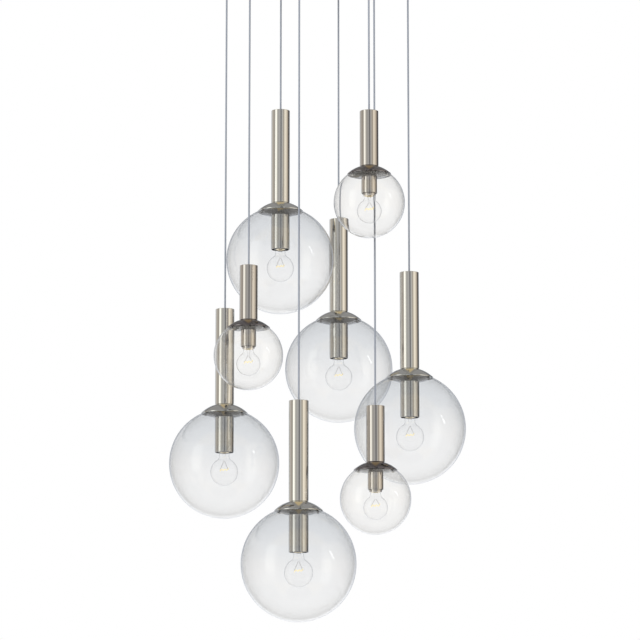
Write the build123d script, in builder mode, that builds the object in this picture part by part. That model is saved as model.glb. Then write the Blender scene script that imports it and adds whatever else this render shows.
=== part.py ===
"""Cluster pendant: eight clear glass globes hung at staggered heights from one round ceiling canopy.

Five large and three small pendants share one design. Each hangs on its own cord and has a tubular metal
stem, a domed cap seated on the glass, a bowl-shaped inner dish with a socket sleeve, a lampholder on a
threaded tube, and a clear globe lamp.

Frame: origin on the ceiling plane at the canopy's centre, +Z up, +Y away from the viewer. Millimetres.
"""

import os
from math import atan2, cos, degrees, hypot, radians, sin, sqrt

from build123d import *

# ---------------------------------------------------------------- canopy
CANOPY_MARGIN = 30.0  # from the outermost cord to the canopy's edge
CANOPY_HEIGHT = 40.0
CANOPY_SHEET = 1.5
CANOPY_EDGE_RADIUS = 9.0

# ---------------------------------------------------------------- ceiling bracket
BRACKET_PLATE = 3.0
HUB_DIA = 136.0
ARM_WIDTH = 36.0
ARM_COUNT = 4
TAB_DROP = 20.0
TAB_GAP = 0.5  # between a turned-down tab and the canopy's wall
WIRE_HOLE_DIA = 32.0
BOX_SCREW_SPACING = 88.9
BOX_SLOT_LENGTH = 18.0
BOX_SLOT_WIDTH = 5.2
CEILING_SCREW_CIRCLE_DIA = 500.0
CEILING_SCREW_HOLE_DIA = 6.5

# ---------------------------------------------------------------- canopy side screws
SIDE_SCREW_DIA = 4.0
SIDE_SCREW_HEAD_DIA = 11.0
SIDE_SCREW_HEAD_LENGTH = 6.0
SIDE_SCREW_DEPTH = 12.0  # below the ceiling
SIDE_SCREW_REACH = 6.0  # past the tab
SCREW_CLEARANCE = 0.15

# ---------------------------------------------------------------- cords and their grips
CORD_DIA = 5.0
CORD_CLEARANCE = 0.15
GRIP_DIA = 17.0
GRIP_TIP_DIA = 13.5
GRIP_LENGTH = 11.0  # below the canopy's face
GRIP_SHOULDER = 3.7  # straight part below the face, before the taper
GRIP_MOUTH_DIA = 10.4
GRIP_MOUTH_DEPTH = 5.0
GRIP_THREAD_DIA = 10.0
GRIP_NUT_FLATS = 14.0
GRIP_NUT_HEIGHT = 5.0
LEAD_BEND_RADIUS = 14.0

# ---------------------------------------------------------------- junction block inside the canopy
BLOCK_DIA = 84.0
BLOCK_HEIGHT = 24.0
BLOCK_EDGE = 3.0
BLOCK_ENTRY_DEPTH = 8.0

# ---------------------------------------------------------------- stem
STEM_WALL = 1.5
STEM_TOP_PLATE = 2.0
STEM_FLOOR = 3.0
STEM_TOP_EDGE = 0.8
STEM_FOOT_EDGE = 2.4
CLAMP_DIA = 15.0
CLAMP_LENGTH = 14.0
CLAMP_LEDGE = 3.0
CORE_DIA = 3.2

# ---------------------------------------------------------------- cap
CAP_SHEET = 1.5
CAP_LIP = 1.8
CAP_SEAT_SET_BACK = 1.75  # the flat seat's edge inside the stem's

# ---------------------------------------------------------------- inner dish, sleeve and glass clips
DISH_SHEET = 1.2
DISH_PLAY = 1.0  # between the dish's edge and the glass
DISH_SET_BACK = 0.8  # the dish's rim below the cap's rim
SLEEVE_SHEET = 1.2
CLIP_COUNT = 3
CLIP_WIDTH = 10.0
CLIP_SHEET = 0.5
CLIP_NOTCH_DEPTH = 3.0
CLIP_NOTCH_PLAY = 1.0
CLIP_TAIL = 17.0
CLIP_NOSE = 3.6
CLIP_DROP = 8.0
CLIP_NOSE_HEIGHTS = (2.7, 5.3)  # where a clip starts outwards and where its nose is, below the dish's rim

# ---------------------------------------------------------------- lampholder and its threaded tube
TUBE_DIA = 10.0
TUBE_BORE = 7.2
THREAD_CLEARANCE = 0.05
SEAT_GAP = 0.05  # between two pieces that rest on each other
TUBE_ENGAGED = 6.0  # in the lampholder's head
TUBE_ABOVE_FLOOR = 9.0  # inside the stem
NUT_FLATS = 14.0
NUT_HEIGHT = 4.0
HOLDER_DIA = 34.0
HOLDER_HEAD = 12.0
HOLDER_EDGE = 1.5
HOLDER_BORE = 27.6
SHELL_SHEET = 0.5
SHELL_LENGTH = 24.0
SHELL_CLEARANCE = 0.1
CONTACT_DIA = 8.0
CONTACT_HEIGHT = 2.0

# ---------------------------------------------------------------- lamp
BASE_DIA = 26.0
BASE_LENGTH = 25.0
BASE_TIP_DIA = 12.0
BASE_TIP_HEIGHT = 3.0
NECK_DIA = 28.0
NECK_FLARE = 13.0
LAMP_WALL = 0.8
MOUNT_DIA = 8.0
MOUNT_TIP_DIA = 4.0
SUPPORT_WIRE_DIA = 0.8
FILAMENT_DIA = 1.2
FILAMENT_SPAN = 20.0
FILAMENT_LIFT = 6.0  # above the lamp's centre

# ---------------------------------------------------------------- the two pendant sizes
LARGE = dict(
    globe=305.0,
    wall=3.0,
    opening=119.0,
    stem=269.0,
    stem_dia=52.5,
    cap_dia=129.0,
    dome_radius=92.0,
    dish_depth=9.5,
    sleeve_dia=52.5,
    sleeve=98.0,
    holder_out=0.0,  # how far the lampholder stands out of its sleeve
    lamp=76.0,
    lamp_drop=92.0,
)
SMALL = dict(
    globe=190.0,
    wall=2.5,
    opening=107.0,
    stem=152.0,
    stem_dia=50.0,
    cap_dia=117.0,
    dome_radius=86.0,
    dish_depth=5.5,
    sleeve_dia=42.0,
    sleeve=45.0,
    holder_out=6.5,
    lamp=65.0,
    lamp_drop=74.0,
)

# where each pendant hangs, in shares of SPREAD: across, back, and cord length below the canopy's face
SPREAD = LARGE["globe"] + SMALL["globe"]
PENDANT_SHARES = {
    1: (LARGE, -0.2267, 0.3899, 0.8641),
    2: (LARGE, 0.1080, 0.5859, 1.4629),
    3: (LARGE, -0.5359, 0.2424, 2.0489),
    4: (LARGE, 0.4962, -0.0202, 1.8861),
    5: (LARGE, -0.1137, -0.4848, 2.6701),
    6: (SMALL, 0.2656, -0.5838, 1.1021),
    7: (SMALL, -0.3957, -0.0505, 1.8536),
    8: (SMALL, 0.2989, -0.3535, 2.6806),
}
PENDANTS = {
    n: (size, SPREAD * across, SPREAD * back, SPREAD * drop)
    for n, (size, across, back, drop) in PENDANT_SHARES.items()
}

os.makedirs("parts", exist_ok=True)

# ---------------------------------------------------------------- worked out from the sizes above
cord_r = CORD_DIA / 2
tube_hole_r = TUBE_DIA / 2 + THREAD_CLEARANCE
canopy_r = max(hypot(x, y) for _, x, y, _ in PENDANTS.values()) + CANOPY_MARGIN
canopy_inner_r = canopy_r - CANOPY_SHEET
pivot_z = -CANOPY_HEIGHT - GRIP_LENGTH + GRIP_MOUTH_DEPTH
holder_length = BASE_LENGTH + BASE_TIP_HEIGHT + CONTACT_HEIGHT + SHELL_CLEARANCE + HOLDER_HEAD


def upright(x, y, z, turn=0.0):
    """A vertical plane through (x, y, z): its x runs outwards at the given turn, its y runs up."""
    a = radians(turn)
    return Plane(origin=(x, y, z), x_dir=(cos(a), sin(a), 0), z_dir=(sin(a), -cos(a), 0))


def level(x, y, z):
    return Plane(origin=(x, y, z))


def plumb(x, y):
    return Axis((x, y, 0), (0, 0, 1))


def on_arc(radius, centre, r):
    """The upper point at distance r from the axis on a circle about (0, centre)."""
    return (r, centre + sqrt(radius**2 - r**2))


def under_arc(radius, centre, r):
    """The lower point at distance r from the axis on a circle about (0, centre)."""
    return (r, centre - sqrt(radius**2 - r**2))


def save(piece, name):
    piece.part.label = name
    export_step(piece.part, f"parts/{name}.step")


def seat_radius(size):
    """Radius of the cap's flat seat, which the stem stands on."""
    return size["stem_dia"] / 2 - CAP_SEAT_SET_BACK


def cap_centre(size):
    """Height of the dome's centre from the cap's rim."""
    return CAP_LIP - sqrt(size["dome_radius"] ** 2 - (size["cap_dia"] / 2) ** 2)


def cap_rise(size):
    """Height of the cap's flat seat from its rim."""
    return cap_centre(size) + sqrt(size["dome_radius"] ** 2 - seat_radius(size) ** 2)


def rim_level(size, cord):
    """Height of the cap's rim, where the cap sits on the glass."""
    return -(CANOPY_HEIGHT + cord + size["stem"] + cap_rise(size))


def globe_centre(size):
    """Height of the globe's centre from the cap's rim, whose inner edge rests on the glass."""
    return -sqrt((size["globe"] / 2) ** 2 - (size["cap_dia"] / 2 - CAP_SHEET) ** 2)


def dish_radius(size):
    return size["opening"] / 2 - DISH_PLAY


def dish_arc(size):
    """Centre height and radius of the dish's underside, from the dish's rim."""
    outer = dish_radius(size)
    inner = size["sleeve_dia"] / 2
    centre = (outer**2 - inner**2 - size["dish_depth"] ** 2) / (2 * size["dish_depth"])
    return centre, sqrt(outer**2 + centre**2)


def holder_foot(size):
    """Height of the lampholder's open end from the cap's rim."""
    return -(DISH_SET_BACK + size["dish_depth"] + size["sleeve"] + size["holder_out"])


# ---------------------------------------------------------------- canopy
def make_canopy():
    e = CANOPY_EDGE_RADIUS
    low = -CANOPY_HEIGHT
    with BuildPart() as canopy:
        with BuildSketch(upright(0, 0, 0)):
            with BuildLine():
                Polyline((0, low + CANOPY_SHEET), (0, low), (canopy_r - e, low))
                CenterArc((canopy_r - e, low + e), e, -90, 90)
                Polyline((canopy_r, low + e), (canopy_r, 0), (canopy_inner_r, 0), (canopy_inner_r, low + e))
                CenterArc((canopy_r - e, low + e), e - CANOPY_SHEET, 0, -90)
                Line((canopy_r - e, low + CANOPY_SHEET), (0, low + CANOPY_SHEET))
            make_face()
        revolve(axis=plumb(0, 0))
        with BuildSketch(level(0, 0, low)):
            with Locations(*[(x, y) for _, x, y, _ in PENDANTS.values()]):
                Circle(GRIP_THREAD_DIA / 2 + SCREW_CLEARANCE)
        extrude(amount=CANOPY_SHEET, mode=Mode.SUBTRACT)
        with Locations(*side_screw_places(canopy_r)):
            Cylinder(SIDE_SCREW_DIA / 2 + SCREW_CLEARANCE, 4 * CANOPY_SHEET, mode=Mode.SUBTRACT)
    save(canopy, "canopy")


def side_screw_places(radius):
    """Where the side screws' axes cross a radius, with z outwards."""
    places = []
    for i in range(ARM_COUNT):
        a = radians(360 / ARM_COUNT * i)
        out = (cos(a), sin(a), 0)
        at = (radius * cos(a), radius * sin(a), -SIDE_SCREW_DEPTH)
        places.append(Plane(origin=at, x_dir=(0, 0, 1), z_dir=out).location)
    return places


def make_bracket():
    tab_r = canopy_inner_r - TAB_GAP
    with BuildPart() as bracket:
        with BuildSketch(level(0, 0, -BRACKET_PLATE)):
            Circle(HUB_DIA / 2)
            with PolarLocations(tab_r / 2, ARM_COUNT):
                Rectangle(tab_r, ARM_WIDTH)
            Circle(WIRE_HOLE_DIA / 2, mode=Mode.SUBTRACT)
            with GridLocations(BOX_SCREW_SPACING, 0, 2, 1):
                SlotOverall(BOX_SLOT_LENGTH, BOX_SLOT_WIDTH, mode=Mode.SUBTRACT)
            with PolarLocations(CEILING_SCREW_CIRCLE_DIA / 2, ARM_COUNT):
                Circle(CEILING_SCREW_HOLE_DIA / 2, mode=Mode.SUBTRACT)
        extrude(amount=BRACKET_PLATE)
        with BuildSketch(level(0, 0, -TAB_DROP)):
            with PolarLocations(tab_r - BRACKET_PLATE / 2, ARM_COUNT):
                Rectangle(BRACKET_PLATE, ARM_WIDTH)
        extrude(amount=TAB_DROP)
        with Locations(*side_screw_places(tab_r)):
            Cylinder(SIDE_SCREW_DIA / 2 + THREAD_CLEARANCE, 4 * BRACKET_PLATE, mode=Mode.SUBTRACT)
    save(bracket, "ceiling_bracket")


def make_canopy_hardware():
    """Eight cord grips with their nuts, and the four knurled side screws."""
    bore = cord_r + CORD_CLEARANCE
    face = -CANOPY_HEIGHT
    tip = face - GRIP_LENGTH
    nut_low = face + CANOPY_SHEET
    thread_top = nut_low + GRIP_NUT_HEIGHT + CANOPY_SHEET
    with BuildPart() as hardware:
        for _, x, y, _ in PENDANTS.values():
            with BuildSketch(upright(x, y, 0)):
                with BuildLine():
                    Polyline(
                        (bore, thread_top),
                        (GRIP_THREAD_DIA / 2, thread_top),
                        (GRIP_THREAD_DIA / 2, face),
                        (GRIP_DIA / 2, face),
                        (GRIP_DIA / 2, face - GRIP_SHOULDER),
                        (GRIP_TIP_DIA / 2, tip),
                        (GRIP_MOUTH_DIA / 2, tip),
                        (bore, pivot_z),
                        close=True,
                    )
                make_face()
            revolve(axis=plumb(x, y))
            with BuildSketch(level(x, y, nut_low + SEAT_GAP)):
                RegularPolygon(GRIP_NUT_FLATS / 2, 6, major_radius=False)
                Circle(GRIP_THREAD_DIA / 2 + THREAD_CLEARANCE, mode=Mode.SUBTRACT)
            extrude(amount=GRIP_NUT_HEIGHT)
        shank = SIDE_SCREW_REACH + BRACKET_PLATE + TAB_GAP + CANOPY_SHEET
        for place in side_screw_places(canopy_r):
            with BuildSketch(Plane(place)):
                Circle(SIDE_SCREW_DIA / 2)
            extrude(amount=-shank)
            with BuildSketch(Plane(place)):
                Circle(SIDE_SCREW_HEAD_DIA / 2)
            extrude(amount=SIDE_SCREW_HEAD_LENGTH)
    save(hardware, "canopy_hardware")


def make_junction_block():
    """The block that joins the eight leads to the supply, with the leads from the grips to it."""
    top = -BRACKET_PLATE
    middle = top - BLOCK_HEIGHT / 2
    lead_foot = pivot_z + cord_r + SHELL_CLEARANCE
    lead_end = BLOCK_DIA / 2 - BLOCK_ENTRY_DEPTH + SHELL_CLEARANCE
    reaches = [(hypot(x, y), degrees(atan2(y, x))) for _, x, y, _ in PENDANTS.values()]
    with BuildPart() as block:
        with BuildSketch(level(0, 0, top)):
            Circle(BLOCK_DIA / 2)
        extrude(amount=-BLOCK_HEIGHT)
        chamfer(block.faces().sort_by(Axis.Z)[0].edges(), BLOCK_EDGE)
        for _, turn in reaches:
            plane = upright(0, 0, middle, turn)
            with BuildSketch(Plane(origin=plane.from_local_coords((BLOCK_DIA / 2, 0, 0)), z_dir=plane.x_dir)):
                Circle(cord_r + CORD_CLEARANCE)
            extrude(amount=-BLOCK_ENTRY_DEPTH, mode=Mode.SUBTRACT)
        for reach, turn in reaches:
            with BuildLine(upright(0, 0, 0, turn)) as route:
                Line((reach, lead_foot), (reach, middle - LEAD_BEND_RADIUS))
                CenterArc((reach - LEAD_BEND_RADIUS, middle - LEAD_BEND_RADIUS), LEAD_BEND_RADIUS, 0, 90)
                Line((reach - LEAD_BEND_RADIUS, middle), (lead_end, middle))
            start = upright(0, 0, 0, turn).from_local_coords((reach, lead_foot, 0))
            with BuildSketch(Plane(origin=start)):
                Circle(cord_r)
            sweep(path=route.line)
    save(block, "junction_block")


# ---------------------------------------------------------------- pendant pieces
def make_cord(n, x, y, cord):
    """A plumb cord: its round top end turns in the grip, its foot stands on the clamp's ledge."""
    foot = -CANOPY_HEIGHT - cord - CLAMP_LENGTH + CLAMP_LEDGE
    with BuildPart() as piece:
        with BuildSketch(upright(x, y, 0)):
            with BuildLine():
                Polyline((0, pivot_z + cord_r), (0, foot), (cord_r, foot), (cord_r, pivot_z))
                CenterArc((0, pivot_z), cord_r, 0, 90)
            make_face()
        revolve(axis=plumb(x, y))
    save(piece, f"cord_{n}")


def make_stem(n, size, x, y, rim):
    """A closed tube whose top plate carries the cord clamp and whose floor takes the threaded tube."""
    foot = cap_rise(size)
    top = foot + size["stem"]
    floor = foot + STEM_FLOOR
    stem_r = size["stem_dia"] / 2
    inner = stem_r - STEM_WALL
    bore = cord_r + CORD_CLEARANCE
    ledge = top - CLAMP_LENGTH + CLAMP_LEDGE
    with BuildPart() as piece:
        with BuildSketch(upright(x, y, rim)):
            with BuildLine():
                Line((tube_hole_r, foot), (stem_r - STEM_FOOT_EDGE, foot))
                CenterArc((stem_r - STEM_FOOT_EDGE, foot + STEM_FOOT_EDGE), STEM_FOOT_EDGE, -90, 90)
                Line((stem_r, foot + STEM_FOOT_EDGE), (stem_r, top - STEM_TOP_EDGE))
                CenterArc((stem_r - STEM_TOP_EDGE, top - STEM_TOP_EDGE), STEM_TOP_EDGE, 0, 90)
                Polyline(
                    (stem_r - STEM_TOP_EDGE, top),
                    (bore, top),
                    (bore, ledge),
                    (CORE_DIA / 2, ledge),
                    (CORE_DIA / 2, top - CLAMP_LENGTH),
                    (CLAMP_DIA / 2, top - CLAMP_LENGTH),
                    (CLAMP_DIA / 2, top - STEM_TOP_PLATE),
                    (inner, top - STEM_TOP_PLATE),
                    (inner, floor),
                    (tube_hole_r, floor),
                    (tube_hole_r, foot),
                )
            make_face()
        revolve(axis=plumb(x, y))
    save(piece, f"stem_{n}")


def make_cap(n, size, x, y, rim):
    """A spun dome: its lip stands on the glass and its flat seat carries the stem."""
    outside = size["dome_radius"]
    inside = outside - CAP_SHEET
    centre = cap_centre(size)
    rise = cap_rise(size)
    cap_r = size["cap_dia"] / 2
    lip_r = cap_r - CAP_SHEET
    seat_r = seat_radius(size)
    under_seat = rise - CAP_SHEET
    inner_seat_r = sqrt(inside**2 - (under_seat - centre) ** 2)
    with BuildPart() as piece:
        with BuildSketch(upright(x, y, rim)):
            with BuildLine():
                Line((cap_r, 0), (cap_r, CAP_LIP))
                ThreePointArc((cap_r, CAP_LIP), on_arc(outside, centre, (cap_r + seat_r) / 2), (seat_r, rise))
                Polyline(
                    (seat_r, rise),
                    (tube_hole_r, rise),
                    (tube_hole_r, under_seat),
                    (inner_seat_r, under_seat),
                )
                ThreePointArc(
                    (inner_seat_r, under_seat),
                    on_arc(inside, centre, (lip_r + inner_seat_r) / 2),
                    on_arc(inside, centre, lip_r),
                )
                Polyline(on_arc(inside, centre, lip_r), (lip_r, 0), (cap_r, 0))
            make_face()
        revolve(axis=plumb(x, y))
    save(piece, f"cap_{n}")


def make_globe(n, size, x, y, rim):
    """A blown sphere with one round opening under the cap."""
    outside = size["globe"] / 2
    inside = outside - size["wall"]
    centre = globe_centre(size)
    mouth = size["opening"] / 2
    with BuildPart() as piece:
        with BuildSketch(upright(x, y, rim)):
            with BuildLine():
                ThreePointArc(on_arc(outside, centre, mouth), (outside, centre), (0, centre - outside))
                Line((0, centre - outside), (0, centre - inside))
                ThreePointArc((0, centre - inside), (inside, centre), on_arc(inside, centre, mouth))
                Line(on_arc(inside, centre, mouth), on_arc(outside, centre, mouth))
            make_face()
        revolve(axis=plumb(x, y))
    save(piece, f"globe_{n}")


def make_socket_cup(n, size, x, y, rim):
    """The dish that closes the glass opening, its socket sleeve, and the spring clips that hold the glass."""
    centre, outside = dish_arc(size)
    inside = outside - DISH_SHEET
    dish_r = dish_radius(size)
    depth = size["dish_depth"]
    sleeve_r = size["sleeve_dia"] / 2
    plate = DISH_SHEET - depth
    sleeve_foot = -depth - size["sleeve"]
    plate_r = sqrt(inside**2 - (centre - plate) ** 2)
    rim_inner = (dish_r * inside / outside, centre * DISH_SHEET / outside)
    dish_rim = rim - DISH_SET_BACK
    with BuildPart() as piece:
        with BuildSketch(upright(x, y, dish_rim)):
            with BuildLine():
                ThreePointArc(
                    (dish_r, 0),
                    under_arc(outside, centre, (dish_r + sleeve_r) / 2),
                    (sleeve_r, -depth),
                )
                Polyline(
                    (sleeve_r, -depth),
                    (sleeve_r, sleeve_foot),
                    (sleeve_r - SLEEVE_SHEET, sleeve_foot),
                    (sleeve_r - SLEEVE_SHEET, -depth),
                    (tube_hole_r, -depth),
                    (tube_hole_r, plate),
                    (plate_r, plate),
                )
                ThreePointArc(
                    (plate_r, plate),
                    under_arc(inside, centre, (plate_r + rim_inner[0]) / 2),
                    rim_inner,
                )
                Line(rim_inner, (dish_r, 0))
            make_face()
        revolve(axis=plumb(x, y))
        with BuildSketch(level(x, y, dish_rim - CLIP_NOTCH_DEPTH)):
            with PolarLocations(dish_r, CLIP_COUNT, start_angle=90):
                Rectangle(2 * CLIP_NOTCH_DEPTH, CLIP_WIDTH + 2 * CLIP_NOTCH_PLAY)
        extrude(amount=2 * CLIP_NOTCH_DEPTH, mode=Mode.SUBTRACT)
        neck_r = dish_r - CLIP_NOTCH_DEPTH / 2
        tail_r = neck_r - CLIP_TAIL
        lift = SEAT_GAP + CLIP_SHEET / 2
        tail_z = under_arc(inside, centre, hypot(tail_r, CLIP_WIDTH / 2))[1] + lift
        elbow_z = under_arc(inside, centre, hypot(neck_r, CLIP_WIDTH / 2))[1] + lift
        nose_top, nose_tip = CLIP_NOSE_HEIGHTS
        for i in range(CLIP_COUNT):
            with BuildSketch(upright(x, y, dish_rim, 90 + 360 / CLIP_COUNT * i)):
                with BuildLine():
                    Polyline(
                        (tail_r, tail_z),
                        (neck_r, elbow_z),
                        (neck_r, -nose_top),
                        (neck_r + CLIP_NOSE, -nose_tip),
                        (neck_r, -CLIP_DROP),
                    )
                    offset(amount=CLIP_SHEET / 2, side=Side.BOTH, kind=Kind.INTERSECTION, mode=Mode.REPLACE)
                make_face()
            extrude(amount=CLIP_WIDTH / 2, both=True)
    save(piece, f"socket_cup_{n}")


def make_lampholder(n, size, x, y, rim):
    """Lampholder body, screw shell and centre contact, with the threaded tube and nuts that clamp the pendant."""
    foot = holder_foot(size)
    head = foot + holder_length
    seat = head - HOLDER_HEAD
    bore = HOLDER_BORE / 2
    holder_r = HOLDER_DIA / 2
    tube_low = head - TUBE_ENGAGED
    stem_floor = cap_rise(size) + STEM_FLOOR
    tube_top = stem_floor + TUBE_ABOVE_FLOOR
    plate = -DISH_SET_BACK - size["dish_depth"]
    with BuildPart() as piece:
        with BuildSketch(upright(x, y, rim)):
            with BuildLine():
                Polyline(
                    (0, seat),
                    (bore, seat),
                    (bore, foot),
                    (holder_r, foot),
                    (holder_r, head - HOLDER_EDGE),
                    (holder_r - HOLDER_EDGE, head),
                    (tube_hole_r, head),
                    (tube_hole_r, tube_low),
                    (0, tube_low),
                    close=True,
                )
            make_face()
        revolve(axis=plumb(x, y))
        with BuildSketch(level(x, y, rim + seat - SHELL_CLEARANCE)):
            Circle(bore - SHELL_CLEARANCE)
            Circle(bore - SHELL_CLEARANCE - SHELL_SHEET, mode=Mode.SUBTRACT)
        extrude(amount=-SHELL_LENGTH)
        with BuildSketch(level(x, y, rim + seat - SEAT_GAP)):
            Circle(CONTACT_DIA / 2)
        extrude(amount=-CONTACT_HEIGHT)
        with BuildSketch(level(x, y, rim + tube_low + SEAT_GAP)):
            Circle(TUBE_DIA / 2)
            Circle(TUBE_BORE / 2, mode=Mode.SUBTRACT)
        extrude(amount=tube_top - tube_low)
        for nut_low in (plate - NUT_HEIGHT, stem_floor):
            with BuildSketch(level(x, y, rim + nut_low)):
                RegularPolygon(NUT_FLATS / 2, 6, major_radius=False)
                Circle(tube_hole_r, mode=Mode.SUBTRACT)
            extrude(amount=NUT_HEIGHT)
    save(piece, f"lampholder_{n}")


def make_bulb(n, size, x, y, rim):
    """A clear globe lamp: thin glass, screw base, and a wire mount with its filament."""
    foot = holder_foot(size)
    lamp_r = size["lamp"] / 2
    neck_r = NECK_DIA / 2
    centre = foot - size["lamp_drop"] + lamp_r
    flare_z = centre + sqrt((lamp_r + NECK_FLARE) ** 2 - (neck_r + NECK_FLARE) ** 2)
    top = foot - SHELL_CLEARANCE

    def outline(wall):
        """Neck, flare and sphere as one run from the open end to the bottom, set in by a wall."""
        sphere = lamp_r - wall
        flare = NECK_FLARE + wall
        share = sphere / (lamp_r + NECK_FLARE)
        join = ((neck_r + NECK_FLARE) * share, centre + (flare_z - centre) * share)
        neck = (neck_r - wall, flare_z)
        a = (Vector(*neck) - Vector(neck_r + NECK_FLARE, flare_z)).normalized()
        b = (Vector(*join) - Vector(neck_r + NECK_FLARE, flare_z)).normalized()
        half = (a + b).normalized() * flare
        mid = (neck_r + NECK_FLARE + half.X, flare_z + half.Y)
        return neck, mid, join, (sphere, centre), (0, centre - sphere)

    with BuildPart() as piece:
        neck, mid, join, side, bottom = outline(0)
        neck_i, mid_i, join_i, side_i, bottom_i = outline(LAMP_WALL)
        with BuildSketch(upright(x, y, rim)):
            with BuildLine():
                Line((neck[0], top), neck)
                ThreePointArc(neck, mid, join)
                ThreePointArc(join, side, bottom)
                Line(bottom, bottom_i)
                ThreePointArc(bottom_i, side_i, join_i)
                ThreePointArc(join_i, mid_i, neck_i)
                Polyline(neck_i, (neck_i[0], top), (neck[0], top))
            make_face()
        revolve(axis=plumb(x, y))
        base_top = foot + BASE_LENGTH
        with BuildSketch(upright(x, y, rim)):
            with BuildLine():
                Polyline(
                    (0, foot),
                    (BASE_DIA / 2, foot),
                    (BASE_DIA / 2, base_top),
                    (BASE_TIP_DIA / 2, base_top + BASE_TIP_HEIGHT),
                    (0, base_top + BASE_TIP_HEIGHT),
                    close=True,
                )
            make_face()
        revolve(axis=plumb(x, y))
        filament_z = centre + FILAMENT_LIFT
        press_low = (foot + filament_z) / 2
        with BuildSketch(upright(x, y, rim)):
            with BuildLine():
                Polyline(
                    (0, top),
                    (MOUNT_DIA / 2, top),
                    (MOUNT_TIP_DIA / 2, press_low),
                    (0, press_low),
                    close=True,
                )
            make_face()
        revolve(axis=plumb(x, y))
        for side_of in (-1, 1):
            root = Vector(x + side_of * MOUNT_TIP_DIA / 4, y, rim + press_low)
            end = Vector(x + side_of * FILAMENT_SPAN / 2, y, rim + filament_z)
            with BuildSketch(Plane(origin=root, z_dir=end - root)):
                Circle(SUPPORT_WIRE_DIA / 2)
            extrude(amount=(end - root).length)
        with BuildSketch(Plane(origin=(x - FILAMENT_SPAN / 2, y, rim + filament_z), z_dir=(1, 0, 0))):
            Circle(FILAMENT_DIA / 2)
        extrude(amount=FILAMENT_SPAN)
    save(piece, f"bulb_{n}")


def make_pendant(n, size, x, y, cord):
    rim = rim_level(size, cord)
    make_cord(n, x, y, cord)
    make_stem(n, size, x, y, rim)
    make_cap(n, size, x, y, rim)
    make_globe(n, size, x, y, rim)
    make_socket_cup(n, size, x, y, rim)
    make_lampholder(n, size, x, y, rim)
    make_bulb(n, size, x, y, rim)


make_canopy()
make_bracket()
make_canopy_hardware()
make_junction_block()
for number, (kind, across, back, cord_length) in PENDANTS.items():
    make_pendant(number, kind, across, back, cord_length)
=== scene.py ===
"""Cluster pendant: eight clear glass globes hung on cords at staggered heights from one round canopy.

Lengths are in metres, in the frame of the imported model: +Z up into the ceiling, the viewer towards -Y.
Pendants 1 to 5 are large and 6 to 8 small.
"""

from math import asin, cos, pi, radians, sin, sqrt

import bmesh
import bpy
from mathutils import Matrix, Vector


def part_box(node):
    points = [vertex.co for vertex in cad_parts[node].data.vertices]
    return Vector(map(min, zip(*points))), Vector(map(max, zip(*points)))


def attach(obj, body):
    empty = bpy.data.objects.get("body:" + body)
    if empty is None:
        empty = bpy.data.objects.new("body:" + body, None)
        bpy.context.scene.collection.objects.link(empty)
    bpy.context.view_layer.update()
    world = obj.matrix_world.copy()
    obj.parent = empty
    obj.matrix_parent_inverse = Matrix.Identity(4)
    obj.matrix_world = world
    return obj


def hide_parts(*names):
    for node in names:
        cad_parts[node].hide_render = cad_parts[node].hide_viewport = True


# ---------------------------------------------------------------- sizes that the frame doesn't give
PENDANTS = range(1, 9)
FIRST_SMALL = 6

GLOBE_WALL = 0.0004  # this thin, so that the glass hardly shifts what is seen through its rim
GLOBE_MOUTH = 0.0595  # radius of the opening under the cap
SMALL_GLOBE_MOUTH = 0.0535
DISH_DEPTH = 0.0103  # from the cap's rim to the dish's underside
SMALL_DISH_DEPTH = 0.0063
PLATE_SLACK = 0.0002  # how far below a dish's lowest point the sleeve's material starts

LAMP_WALL = 0.0003
LAMP_NECK = 0.0140  # radius
LAMP_FLARE = 0.0130  # radius of the curve from neck to sphere
LAMP_BASE = 0.0132  # radius over the thread
LAMP_BASE_LENGTH = 0.0270
THREAD_DEPTH = 0.0011
THREAD_TURNS = 7
MOUNT_FOOT = 0.0055  # radius of the glass mount at the neck
MOUNT_TIP = 0.0022  # its radius at the lower end
FILAMENT_LIFT = 0.0060  # above the lamp's centre
FILAMENT_SPAN = 0.0230
FILAMENT_DIAMETER = 0.0011
FILAMENT_SWAY = 0.0045  # how far its waves go up and down
FILAMENT_BENDS = 6  # the waves' turning points, with both ends
SUPPORT_DIAMETER = 0.0009

# How finely the pieces are cut: segments go round the axis, steps along an arc of the outline.
GLOBE_SEGMENTS = 144
GLOBE_STEPS = 80
GLOBE_EDGE_STEPS = 8
LAMP_SEGMENTS = 96
LAMP_SPHERE_STEPS = 40
LAMP_FLARE_STEPS = 10
BASE_SEGMENTS = 48
MOUNT_SEGMENTS = 24
WIRE_ROUND = 5  # the resolution of its bevel
WIRE_STEPS = 8  # from one point of its route to the next
# Degrees between two faces from which the edge between them stays sharp.
CREASE = 35
GLOBE_CREASE = 60

# Painted shade on the glass: its colour by height, from a globe's bottom (0) to its opening (1), darker
# towards the opening and on the large globes also bluer.
LARGE_GLASS_SHADE = (
    (0.05, (0.979, 0.981, 0.982)),
    (0.21, (0.974, 0.976, 0.978)),
    (0.36, (0.961, 0.963, 0.966)),
    (0.50, (0.951, 0.954, 0.959)),
    (0.63, (0.912, 0.920, 0.929)),
    (0.75, (0.892, 0.902, 0.914)),
    (0.83, (0.870, 0.883, 0.899)),
    (0.94, (0.862, 0.875, 0.891)),
)
SMALL_GLASS_SHADE = (
    (0.10, (0.990, 0.989, 0.986)),
    (0.90, (0.976, 0.975, 0.972)),
)

# ---------------------------------------------------------------- camera and studio
AIM = Vector((0, 0.025, -1.100))  # what the camera and the key light point at
CAMERA_DISTANCE = 8.0
CAMERA_PITCH = radians(9.5)
CAMERA_LENS = 163.125  # millimetres, on the default 36 mm sensor
FLOOR_LEVEL = -3.8
FLOOR_SIZE = 16.0
FLOOR_FADE = (1.0, 7.0)  # from its middle; the floor fades between them into the white backdrop
FLOOR_WHITE = 0.6  # share of that white at its middle

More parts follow.
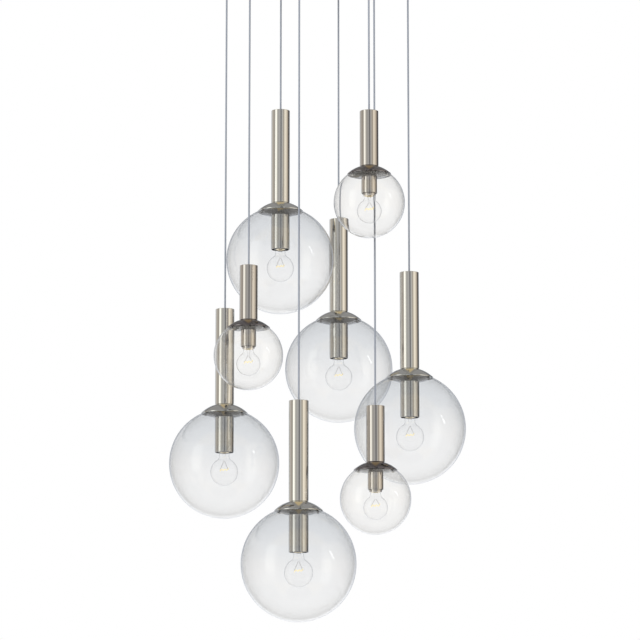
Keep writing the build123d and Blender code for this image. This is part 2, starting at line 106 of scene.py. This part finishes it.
KEY_PLACE = (-2.6, -3.4, 0.6)
KEY_SIZE = 1.8
KEY_POWER = 60  # watts
BOUNCES = 32  # enough for a ray through the walls of several globes and lamps
BACKDROP = (1.0, 1.0, 1.0)
FILL = (0.75, 0.75, 0.75)  # what lights matt surfaces from all sides

# What the metal and the glass reflect: lit white and cream panels with unlit, greyer room between them.
# They go round from behind on the left (-180 degrees) past the viewer (0) to behind on the right (180).
STUDIO_WALL = (
    (-180, (0.48, 0.48, 0.49)),
    (-130, (0.60, 0.59, 0.57)),
    (-106, (0.48, 0.44, 0.39)),
    (-88, (0.38, 0.35, 0.31)),
    (-74, (0.42, 0.40, 0.36)),
    (-66, (1.32, 1.30, 1.20)),
    (-52, (1.25, 1.23, 1.13)),
    (-42, (0.55, 0.54, 0.50)),
    (-28, (0.42, 0.41, 0.39)),
    (-5, (0.46, 0.46, 0.46)),
    (1, (0.22, 0.22, 0.22)),
    (10, (0.10, 0.10, 0.11)),
    (17, (0.52, 0.52, 0.51)),
    (28, (0.50, 0.48, 0.44)),
    (45, (0.42, 0.37, 0.31)),
    (54, (1.00, 0.93, 0.79)),
    (76, (0.85, 0.77, 0.64)),
    (92, (0.55, 0.48, 0.40)),
    (106, (0.34, 0.30, 0.25)),
    (116, (0.07, 0.06, 0.06)),
    (140, (0.10, 0.10, 0.10)),
    (158, (0.30, 0.31, 0.33)),
)
# The same behind the object, from straight down (0) to straight up (1).
STUDIO_BACK = (
    (0.32, (1.20, 1.21, 1.22)),
    (0.44, (1.10, 1.12, 1.15)),
    (0.50, (0.74, 0.77, 0.82)),
    (0.58, (0.50, 0.52, 0.56)),
    (0.70, (0.42, 0.43, 0.45)),
)
# Overhead: grey towards the back, a warm panel towards the viewer, and a dark cornice along the back.
STUDIO_CEILING = (0.33, 0.32, 0.31)
STUDIO_FRONT_CEILING = (0.66, 0.53, 0.32)
CORNICE = (0.05, 0.05, 0.05)
CORNICE_HEIGHT = 0.52
CORNICE_HALF = 0.035
STUDIO_FLOOR = (0.62, 0.62, 0.61)
# The studio is painted by direction, so its heights and reaches are those of a unit direction. These are
# the heights between which floor turns to wall and wall to ceiling.
WALL_FOOT = (-0.45, -0.12)
WALL_TOP = (0.44, 0.60)
# And the reaches to the back between which the wall turns to what is behind, the ceiling's front turns to
# its back and the cornice begins.
BACK_EDGE = (0.80, 0.92)
CEILING_EDGE = (-0.50, -0.25)
CORNICE_END = (0.00, 0.25)
# A small bright card, which draws the streak on the right of each globe.
CARD_LIGHT = (5.5, 5.5, 5.4)
CARD_TURN = 71  # degrees round to the right from the viewer
CARD_HEIGHT = 0.23
CARD_HALF_WIDTH = 0.006  # as a share of the whole way round
CARD_HALF_HEIGHT = 0.12
CARD_LEAN = 0.09  # share of the way round by which it nears the viewer for each unit of height

GLASS_IOR = 1.46
LAMP_IOR = 1.12  # less than real glass, which would draw too strong an outline round the small lamps

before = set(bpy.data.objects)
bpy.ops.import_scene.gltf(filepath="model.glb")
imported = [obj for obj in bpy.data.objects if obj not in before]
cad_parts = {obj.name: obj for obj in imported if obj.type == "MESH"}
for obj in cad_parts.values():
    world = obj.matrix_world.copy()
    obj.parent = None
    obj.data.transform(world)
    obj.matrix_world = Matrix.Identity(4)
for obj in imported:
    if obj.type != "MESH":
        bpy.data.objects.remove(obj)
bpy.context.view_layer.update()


def is_small(n):
    return n >= FIRST_SMALL


# ---------------------------------------------------------------- shader nodes
def add(tree, kind, **settings):
    node = tree.nodes.new(kind)
    for name, value in settings.items():
        setattr(node, name, value)
    return node


def calculate(tree, operation, *values):
    """A Math node on sockets or numbers."""
    node = add(tree, "ShaderNodeMath", operation=operation)
    for socket, value in zip(node.inputs, values):
        if isinstance(value, (int, float)):
            socket.default_value = value
        else:
            tree.links.new(value, socket)
    return node.outputs[0]


def bounced(tree, depth):
    """1 for a ray that has bounced at least once in some way, from its depth in that way."""
    return calculate(tree, "GREATER_THAN", depth, 0.5)


def ramp_between(tree, value, start, end):
    """0 below start, 1 above end, smooth between them."""
    node = add(tree, "ShaderNodeMapRange", interpolation_type="SMOOTHSTEP")
    tree.links.new(value, node.inputs["Value"])
    node.inputs["From Min"].default_value = start
    node.inputs["From Max"].default_value = end
    return node.outputs["Result"]


def mix(tree, factor, first, second):
    """A colour mix; each colour is a socket or an (r, g, b)."""
    node = add(tree, "ShaderNodeMix", data_type="RGBA")
    tree.links.new(factor, node.inputs[0])
    for socket, value in ((node.inputs[6], first), (node.inputs[7], second)):
        if isinstance(value, tuple):
            socket.default_value = (*value, 1)
        else:
            tree.links.new(value, socket)
    return node.outputs[2]


def ramp(tree, value, stops):
    """A colour ramp over a value; the stops are (position, colour)."""
    node = add(tree, "ShaderNodeValToRGB")
    tree.links.new(value, node.inputs[0])
    elements = node.color_ramp.elements
    elements.remove(elements[1])
    for position, colour in stops:
        stop = elements[0] if position == stops[0][0] else elements.new(position)
        stop.position = position
        stop.color = (*colour, 1)
    return node.outputs[0]


# ---------------------------------------------------------------- materials
def principled(name, **values):
    """A material whose Principled sockets have the given values; underscores stand for spaces."""
    material = bpy.data.materials.new(name)
    material.use_nodes = True
    shader = material.node_tree.nodes["Principled BSDF"]
    for socket, value in values.items():
        shader.inputs[socket.replace("_", " ")].default_value = value
    return material


def metal(name, colour, roughness):
    return principled(name, Base_Color=(*colour, 1), Metallic=1.0, Roughness=roughness)


def glass(name, colour, ior):
    return principled(name, Base_Color=(*colour, 1), Roughness=0.0, IOR=ior, Transmission_Weight=1.0)


def shaded_glass(name, shading, ior):
    """Glass whose colour changes with height on the piece, which paints shade on it; the shading's stops
    are (height, colour).
    """
    material = glass(name, (1, 1, 1), ior)
    tree = material.node_tree
    height = add(tree, "ShaderNodeSeparateXYZ")
    tree.links.new(add(tree, "ShaderNodeTexCoord").outputs["Generated"], height.inputs[0])
    colour = ramp(tree, height.outputs["Z"], shading)
    tree.links.new(colour, tree.nodes["Principled BSDF"].inputs["Base Color"])
    return material


SATIN_NICKEL = metal("satin_nickel", (0.86, 0.85, 0.82), 0.06)
BRIGHT_NICKEL = metal("bright_nickel", (0.75, 0.72, 0.69), 0.06)
CAP_NICKEL = metal("cap_nickel", (0.76, 0.77, 0.76), 0.04)
# Painted shade: the small caps' nickel is made dark grey, far below real nickel, so that they render
# darker than the large caps.
SMALL_CAP_SHADED_NICKEL = metal("small_cap_shaded_nickel", (0.26, 0.24, 0.25), 0.04)
# Painted shade: the dishes and their clips are nickel made nearly black, so that they render dark under
# the caps.
DISH_SHADED_NICKEL = metal("dish_shaded_nickel", (0.11, 0.105, 0.10), 0.04)
CANOPY_NICKEL = metal("canopy_nickel", (0.55, 0.54, 0.51), 0.22)
ZINC = metal("zinc_steel", (0.62, 0.63, 0.64), 0.35)
BRASS = metal("brass_shell", (0.80, 0.64, 0.36), 0.25)
SUPPORT_METAL = metal("support_wire", (0.62, 0.60, 0.57), 0.30)
# The globes' glass carries painted shade, darker towards the opening.
LARGE_GLASS = shaded_glass("clear_glass_large", LARGE_GLASS_SHADE, GLASS_IOR)
SMALL_GLASS = shaded_glass("clear_glass_small", SMALL_GLASS_SHADE, GLASS_IOR)
LAMP_GLASS = glass("lamp_glass", (1.0, 1.0, 1.0), LAMP_IOR)
CORD_PVC = principled("cord_pvc", Base_Color=(0.36, 0.39, 0.45, 1), Roughness=0.45)
HOLDER = principled("holder_black", Base_Color=(0.035, 0.035, 0.038, 1), Roughness=0.35)
WHITE_PLASTIC = principled("white_plastic", Base_Color=(0.80, 0.80, 0.78, 1), Roughness=0.45)
GLOW = principled(
    "filament_glow",
    Base_Color=(0.95, 0.70, 0.25, 1),
    Emission_Color=(1.0, 0.76, 0.09, 1),
    Emission_Strength=1.0,
)


def finish_node(node, material):
    """Gives a CAD node that stays in view its material."""
    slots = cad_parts[node].data.materials
    slots.clear()
    slots.append(material)


def finish_cup(n, dish, sleeve):
    """Gives the dish with its clips one material and the sleeve under it another."""
    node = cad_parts[f"socket_cup_{n}"]
    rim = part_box(f"cap_{n}")[0].z
    dish_depth = SMALL_DISH_DEPTH if is_small(n) else DISH_DEPTH
    level = rim - dish_depth - PLATE_SLACK
    finish_node(f"socket_cup_{n}", dish)
    node.data.materials.append(sleeve)
    for face in node.data.polygons:
        face.material_index = int(face.center.z < level)


# ---------------------------------------------------------------- making pieces
def lathe(name, profile, x, y, material, body, segments, crease=CREASE):
    """A turned piece on the upright axis at x, y; its (r, z) profile starts and ends on the axis."""
    shape = bmesh.new()
    angles = [2 * pi * i / segments for i in range(segments)]
    rings = []
    for r, z in profile:
        around = angles if r > 0 else angles[:1]
        rings.append([shape.verts.new((x + r * cos(a), y + r * sin(a), z)) for a in around])
    for ring, following in zip(rings, rings[1:]):
        for i in range(segments):
            j = (i + 1) % segments
            corners = (ring[i % len(ring)], ring[j % len(ring)])
            opposite = (following[j % len(following)], following[i % len(following)])
            shape.faces.new(list(dict.fromkeys(corners + opposite)))
    bmesh.ops.recalc_face_normals(shape, faces=shape.faces)
    mesh = bpy.data.meshes.new(name)
    shape.to_mesh(mesh)
    shape.free()
    mesh.shade_smooth()
    mesh.set_sharp_from_angle(angle=radians(crease))
    mesh.materials.append(material)
    piece = bpy.data.objects.new(name, mesh)
    bpy.context.scene.collection.objects.link(piece)
    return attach(piece, body)


def wire(name, points, diameter, material, body):
    """A round wire along one smooth open spline."""
    line = bpy.data.curves.new(name, "CURVE")
    line.dimensions = "3D"
    line.bevel_depth = diameter / 2
    line.bevel_resolution = WIRE_ROUND
    line.resolution_u = WIRE_STEPS
    line.use_fill_caps = True
    spline = line.splines.new("NURBS")
    spline.points.add(len(points) - 1)
    for control, place in zip(spline.points, points):
        control.co = (*place, 1)
    spline.order_u = 3
    spline.use_endpoint_u = True
    line.materials.append(material)
    piece = bpy.data.objects.new(name, line)
    bpy.context.scene.collection.objects.link(piece)
    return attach(piece, body)


def arc(radius, centre_r, centre_z, start, end, steps):
    """Points (r, z) on a circle, with angles turning from straight up towards +r."""
    turns = [start + (end - start) * i / steps for i in range(steps + 1)]
    return [(max(0.0, centre_r + radius * sin(t)), centre_z + radius * cos(t)) for t in turns]


def on_axis(points):
    """The same points with the first and the last put exactly on the axis."""
    return [(0.0, points[0][1]), *points[1:-1], (0.0, points[-1][1])]


def middle(node):
    """The place (x, y) of the upright axis through a node's box."""
    low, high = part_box(node)
    return (low.x + high.x) / 2, (low.y + high.y) / 2


# ---------------------------------------------------------------- pieces of a pendant
def make_globe(n):
    """A blown shell with a fire-polished edge round its opening."""
    low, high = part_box(f"globe_{n}")
    outer = (high.x - low.x) / 2
    inner = outer - GLOBE_WALL
    between = outer - GLOBE_WALL / 2
    centre = low.z + outer
    mouth = SMALL_GLOBE_MOUTH if is_small(n) else GLOBE_MOUTH
    edge_turn = asin(mouth / between)
    edge_level = centre + between * cos(edge_turn)
    outside = arc(outer, 0, centre, pi, edge_turn, GLOBE_STEPS)
    edge = arc(GLOBE_WALL / 2, mouth, edge_level, edge_turn, edge_turn - pi, GLOBE_EDGE_STEPS)
    inside = arc(inner, 0, centre, edge_turn, pi, GLOBE_STEPS)
    profile = on_axis(outside + edge[1:-1] + inside)
    material = SMALL_GLASS if is_small(n) else LARGE_GLASS
    x, y = middle(f"stem_{n}")
    body = f"pendant_{n}"
    globe = lathe(f"glass_globe_{n}", profile, x, y, material, body, GLOBE_SEGMENTS, GLOBE_CREASE)
    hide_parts(f"globe_{n}")


def lamp_outline(radius, centre, top, wall):
    """Sphere, flare and neck from the bottom up, set in by a wall's thickness."""
    reach = radius + LAMP_FLARE
    flare_level = centre + sqrt(reach**2 - (LAMP_NECK + LAMP_FLARE) ** 2)
    join_turn = asin((LAMP_NECK + LAMP_FLARE) / reach)
    sphere = arc(radius - wall, 0, centre, pi, join_turn, LAMP_SPHERE_STEPS)
    flare = arc(
        LAMP_FLARE + wall,
        LAMP_NECK + LAMP_FLARE,
        flare_level,
        join_turn - pi,
        -pi / 2,
        LAMP_FLARE_STEPS,
    )
    return sphere + flare[1:] + [(LAMP_NECK - wall, top)]


def base_outline(foot):
    """The screw base from its lower end up, with its thread as ridges."""
    outline = [(0.0, foot), (LAMP_BASE, foot)]
    half_pitch = LAMP_BASE_LENGTH / THREAD_TURNS / 2
    for i in range(1, 2 * THREAD_TURNS):
        outline.append((LAMP_BASE - THREAD_DEPTH * (i % 2), foot + half_pitch * i))
    return outline + [(LAMP_BASE, foot + LAMP_BASE_LENGTH), (0.0, foot + LAMP_BASE_LENGTH)]


def make_filament(n, x, y, tip_level, level):
    """The wavy filament and the two support wires, which run to it from the tip of the glass mount."""
    body = f"pendant_{n}"
    half = FILAMENT_SPAN / 2
    supports = []
    for side, way in (("left", -1), ("right", 1)):
        points = [
            (x + way * MOUNT_TIP / 2, y, tip_level),
            (x + way * half / 2, y, (tip_level + level) / 2),
            (x + way * half, y, level),
        ]
        supports.append(wire(f"support_{side}_{n}", points, SUPPORT_DIAMETER, SUPPORT_METAL, body))
    bends = []
    for i in range(FILAMENT_BENDS):
        rise = FILAMENT_SWAY * (1 if i % 2 else -1)
        bends.append((x - half + FILAMENT_SPAN * i / (FILAMENT_BENDS - 1), y, level + rise))
    return [wire(f"filament_{n}", bends, FILAMENT_DIAMETER, GLOW, body), *supports]


def make_bulb(n):
    """A clear globe lamp: glass, screw base, glass mount, two support wires and the filament."""
    x, y = middle(f"stem_{n}")
    low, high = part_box(f"bulb_{n}")
    radius = (high.x - low.x) / 2
    centre = low.z + radius
    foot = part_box(f"lampholder_{n}")[0].z
    body = f"pendant_{n}"

    outside = lamp_outline(radius, centre, foot, 0)
    inside = lamp_outline(radius, centre, foot, LAMP_WALL)
    shell_profile = on_axis(outside + inside[::-1])
    shell = lathe(f"lamp_glass_{n}", shell_profile, x, y, LAMP_GLASS, body, LAMP_SEGMENTS)
    base = lathe(f"lamp_base_{n}", base_outline(foot), x, y, BRASS, body, BASE_SEGMENTS)

    filament_level = centre + FILAMENT_LIFT
    tip_level = (foot + filament_level) / 2
    mount_profile = [(0.0, foot), (MOUNT_FOOT, foot), (MOUNT_TIP, tip_level), (0.0, tip_level)]
    mount = lathe(f"lamp_mount_{n}", mount_profile, x, y, LAMP_GLASS, body, MOUNT_SEGMENTS)
    wires = make_filament(n, x, y, tip_level, filament_level)

    for piece in (shell, base, mount, *wires):
        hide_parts(f"bulb_{n}")


def make_cord(n):
    """A plumb cord from its grip on the canopy to the clamp in the stem's top."""
    low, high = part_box(f"cord_{n}")
    x, y = middle(f"cord_{n}")
    diameter = high.x - low.x
    top = high.z - diameter / 2
    drop = top - low.z
    route = [(x, y, top), (x, y, top - drop / 3), (x, y, top - drop * 2 / 3), (x, y, low.z)]
    line = wire(f"flex_{n}", route, diameter, CORD_PVC, f"pendant_{n}")
    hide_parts(f"cord_{n}")


# ---------------------------------------------------------------- studio
def share_of_turn(degrees):
    """Degrees from the viewer as a share of the way round, which starts behind on the left."""
    return 0.5 + degrees / 360


def paint_room(tree, share, y, z):
    """The colour of wall, floor, ceiling and cornice in a direction."""
    wall = ramp(tree, share, [(share_of_turn(turn), colour) for turn, colour in STUDIO_WALL])
    back = ramp(tree, calculate(tree, "MULTIPLY_ADD", z, 0.5, 0.5), STUDIO_BACK)
    ceiling = mix(tree, ramp_between(tree, y, *CEILING_EDGE), STUDIO_FRONT_CEILING, STUDIO_CEILING)
    room = mix(tree, ramp_between(tree, z, *WALL_FOOT), STUDIO_FLOOR, wall)
    room = mix(tree, ramp_between(tree, y, *BACK_EDGE), room, back)
    room = mix(tree, ramp_between(tree, z, *WALL_TOP), room, ceiling)
    cornice = calculate(tree, "COMPARE", z, CORNICE_HEIGHT, CORNICE_HALF)
    cornice = calculate(tree, "MULTIPLY", cornice, ramp_between(tree, y, *CORNICE_END))
    return mix(tree, cornice, room, CORNICE)


def mask_card(tree, share, z, rays):
    """1 on the card, for rays that are mirrored sharply and haven't gone through glass."""
    lean = calculate(tree, "MULTIPLY", calculate(tree, "SUBTRACT", z, CARD_HEIGHT), CARD_LEAN)
    leaned = calculate(tree, "ADD", share, lean)
    around = calculate(tree, "COMPARE", leaned, share_of_turn(CARD_TURN), CARD_HALF_WIDTH)
    upwards = calculate(tree, "COMPARE", z, CARD_HEIGHT, CARD_HALF_HEIGHT)
    outside = calculate(tree, "LESS_THAN", rays["Transmission Depth"], 0.5)
    card = calculate(tree, "MULTIPLY", calculate(tree, "MULTIPLY", around, upwards), outside)
    return calculate(tree, "MULTIPLY", card, rays["Is Singular Ray"])


def make_world():
    """A white backdrop, a plain grey fill for shading, and the studio's panels for reflections."""
    world = bpy.data.worlds.new("studio")
    bpy.context.scene.world = world
    world.use_nodes = True
    tree = world.node_tree
    direction = add(tree, "ShaderNodeSeparateXYZ")
    tree.links.new(add(tree, "ShaderNodeTexCoord").outputs["Generated"], direction.inputs[0])
    x, y, z = direction.outputs
    towards_viewer = calculate(tree, "MULTIPLY", y, -1.0)
    turn = calculate(tree, "ARCTAN2", x, towards_viewer)
    share = calculate(tree, "ADD", calculate(tree, "DIVIDE", turn, 2 * pi), 0.5)
    rays = add(tree, "ShaderNodeLightPath").outputs
    room = paint_room(tree, share, y, z)
    reflected = mix(tree, mask_card(tree, share, z, rays), room, CARD_LIGHT)
    seen = mix(tree, bounced(tree, rays["Glossy Depth"]), BACKDROP, reflected)
    light = mix(tree, bounced(tree, rays["Diffuse Depth"]), seen, FILL)
    tree.links.new(light, tree.nodes["Background"].inputs["Color"])


def floor_paint():
    """Matt paint that takes shadows and, to the camera, fades outwards into the white backdrop."""
    material = principled("floor_paint", Base_Color=(0.88, 0.88, 0.88, 1), Roughness=0.9)
    tree = material.node_tree
    distance = add(tree, "ShaderNodeVectorMath", operation="LENGTH")
    tree.links.new(add(tree, "ShaderNodeTexCoord").outputs["Object"], distance.inputs[0])
    outwards = ramp_between(tree, distance.outputs["Value"], *FLOOR_FADE)
    white = calculate(tree, "MULTIPLY_ADD", outwards, 1 - FLOOR_WHITE, FLOOR_WHITE)
    seen = calculate(tree, "MULTIPLY", white, add(tree, "ShaderNodeLightPath").outputs["Is Camera Ray"])
    blend = add(tree, "ShaderNodeMixShader")
    glow = add(tree, "ShaderNodeEmission")
    tree.links.new(seen, blend.inputs[0])
    tree.links.new(tree.nodes["Principled BSDF"].outputs[0], blend.inputs[1])
    tree.links.new(glow.outputs[0], blend.inputs[2])
    tree.links.new(blend.outputs[0], tree.nodes["Material Output"].inputs["Surface"])
    return material


def make_floor():
    """A pale floor, which mirrors and glass don't pick up."""
    bpy.ops.mesh.primitive_plane_add(size=FLOOR_SIZE, location=(0, 0, FLOOR_LEVEL))
    floor = bpy.context.object
    floor.name = "floor"
    floor.data.materials.append(floor_paint())
    floor.visible_glossy = False
    floor.visible_transmission = False


def make_key_light():
    """One soft light from the upper left, which mirrors and glass don't pick up."""
    light = bpy.data.lights.new("key", "AREA")
    light.shape = "DISK"
    light.size = KEY_SIZE
    light.energy = KEY_POWER
    key = bpy.data.objects.new("key", light)
    key.location = KEY_PLACE
    key.rotation_euler = (AIM - Vector(KEY_PLACE)).to_track_quat("-Z", "Y").to_euler()
    key.visible_glossy = False
    key.visible_transmission = False
    bpy.context.scene.collection.objects.link(key)


def make_camera():
    """The viewer, who stands in front of the cluster and looks up at it."""
    camera = bpy.data.objects.new("camera", bpy.data.cameras.new("camera"))
    camera.data.lens = CAMERA_LENS
    back = Vector((0, -cos(CAMERA_PITCH), -sin(CAMERA_PITCH)))
    camera.location = AIM + CAMERA_DISTANCE * back
    camera.rotation_euler = (pi / 2 + CAMERA_PITCH, 0, 0)
    bpy.context.scene.collection.objects.link(camera)
    bpy.context.scene.camera = camera


# ---------------------------------------------------------------- everything together
for n in PENDANTS:
    tube = BRIGHT_NICKEL if is_small(n) else SATIN_NICKEL
    make_cord(n)
    make_globe(n)
    make_bulb(n)
    finish_node(f"stem_{n}", tube)
    finish_node(f"cap_{n}", SMALL_CAP_SHADED_NICKEL if is_small(n) else CAP_NICKEL)
    finish_cup(n, DISH_SHADED_NICKEL, tube)
    finish_node(f"lampholder_{n}", BRIGHT_NICKEL if is_small(n) else HOLDER)
finish_node("canopy", CANOPY_NICKEL)
finish_node("canopy_hardware", CANOPY_NICKEL)
finish_node("ceiling_bracket", ZINC)
finish_node("junction_block", WHITE_PLASTIC)

make_world()
make_floor()
make_key_light()
make_camera()
scene = bpy.context.scene
scene.view_settings.view_transform = "Standard"
scene.cycles.max_bounces = BOUNCES
scene.cycles.transmission_bounces = BOUNCES
